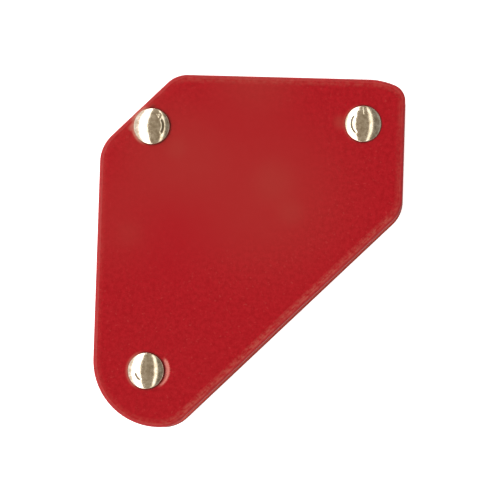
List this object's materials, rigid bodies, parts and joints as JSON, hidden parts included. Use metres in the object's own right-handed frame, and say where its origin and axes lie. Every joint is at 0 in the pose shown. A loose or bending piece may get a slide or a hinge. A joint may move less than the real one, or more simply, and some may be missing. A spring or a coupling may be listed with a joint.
{
  "type": "welding magnet holder",
  "caption": "Riveted magnetic welding holder: flat side plates clamp ferrite blocks, with straight edges that set 45, 90 and 135 degree corners.",
  "frame": {"origin": "centre of the plates' outline, on the surface that the rear rivet caps stand on", "axes": "+Z out of the front plate, +Y up to the top edge and +X right along the top edge, seen from the front"},
  "size_m": [0.0662, 0.077, 0.016],
  "materials": {
    "red_paint": "satin",
    "ferrite": "matte",
    "nickel": "polished",
    "rivet_steel": "satin",
    "brass": "satin"
  },
  "bodies": {
    "root": {"front_plate": "red_paint", "rear_plate": "red_paint", "magnet_upper": "ferrite", "magnet_middle_left": "ferrite", "magnet_middle_right": "ferrite", "magnet_lower": "ferrite", "upper_left_front_cap": "nickel", "upper_left_rivet_post": "rivet_steel", "upper_left_rivet_socket": "rivet_steel", "upper_left_rear_cap": "nickel", "upper_left_spacer": "brass", "upper_right_front_cap": "nickel", "upper_right_rivet_post": "rivet_steel", "upper_right_rivet_socket": "rivet_steel", "upper_right_rear_cap": "nickel", "upper_right_spacer": "brass", "lower_left_front_cap": "nickel", "lower_left_rivet_post": "rivet_steel", "lower_left_rivet_socket": "rivet_steel", "lower_left_rear_cap": "nickel", "lower_left_spacer": "brass"}
  },
  "joints": []
}
